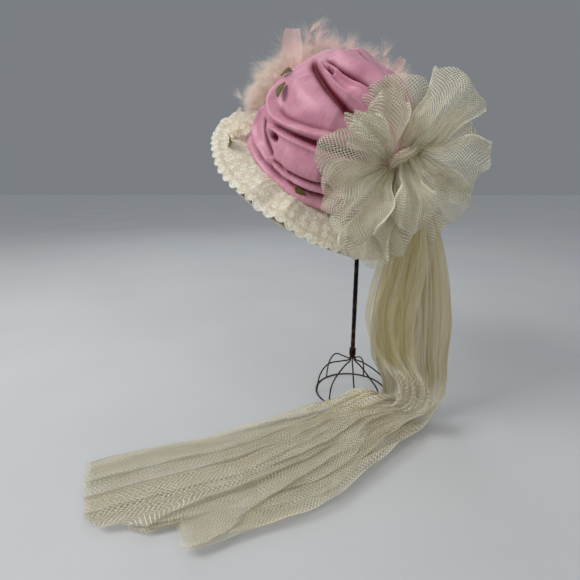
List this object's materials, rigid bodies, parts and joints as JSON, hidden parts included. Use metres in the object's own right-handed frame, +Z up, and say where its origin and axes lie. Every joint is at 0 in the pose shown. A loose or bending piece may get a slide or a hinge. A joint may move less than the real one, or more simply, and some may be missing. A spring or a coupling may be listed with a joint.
{
  "type": "wide-brim hat on a wire hat stand",
  "caption": "Draped satin hat with a lace-trimmed drooping brim, feather trim, tulle bow and a long tulle train, leaning on a twisted wire stand.",
  "frame": {"origin": "centre of the whole footprint, on the floor", "axes": "+Z up, +X to the viewer's right and -Y towards the viewer of the picture"},
  "size_m": [0.4136, 0.3998, 0.4644],
  "materials": {
    "pink_satin": "draped satin with a soft sheen",
    "brim_net": "stiff gold net",
    "piping": "glossy cream cord",
    "lace": "ivory cotton lace over peach net",
    "tulle": "ivory net, see-through",
    "feather": "pale pink marabou down",
    "blossom": "matt cream cloth petals",
    "leaf": "olive green cloth",
    "iron_wire": "dark wire, browned"
  },
  "bodies": {
    "root": {"base_leg_1": "iron_wire", "base_leg_2": "iron_wire", "base_leg_3": "iron_wire", "base_leg_4": "iron_wire", "base_leg_5": "iron_wire", "base_leg_6": "iron_wire", "base_leg_7": "iron_wire", "base_ring": "iron_wire", "blossom_1": "blossom", "blossom_2": "blossom", "bow_knot": "tulle", "bow_loop_01": "tulle", "bow_loop_02": "tulle", "bow_loop_03": "tulle", "bow_loop_04": "tulle", "bow_loop_05": "tulle", "bow_loop_06": "tulle", "bow_loop_07": "tulle", "bow_loop_08": "tulle", "bow_loop_09": "tulle", "bow_loop_10": "tulle", "bow_loop_11": "tulle", "brim": "brim_net", "crown": "pink_satin", "feather_1": "feather", "feather_2": "feather", "feather_3": "feather", "feather_4": "feather", "feather_5": "feather", "feather_6": "feather", "lace_ruffle": "lace", "leaf_1": "leaf", "leaf_2": "leaf", "leaf_3": "leaf", "leaf_4": "leaf", "rim_piping": "piping", "stem": "iron_wire", "stem_binding": "iron_wire", "top_arm_1": "iron_wire", "top_arm_2": "iron_wire", "top_arm_3": "iron_wire", "top_arm_4": "iron_wire", "top_button": "iron_wire", "top_ring": "iron_wire", "train": "tulle"}
  },
  "joints": []
}
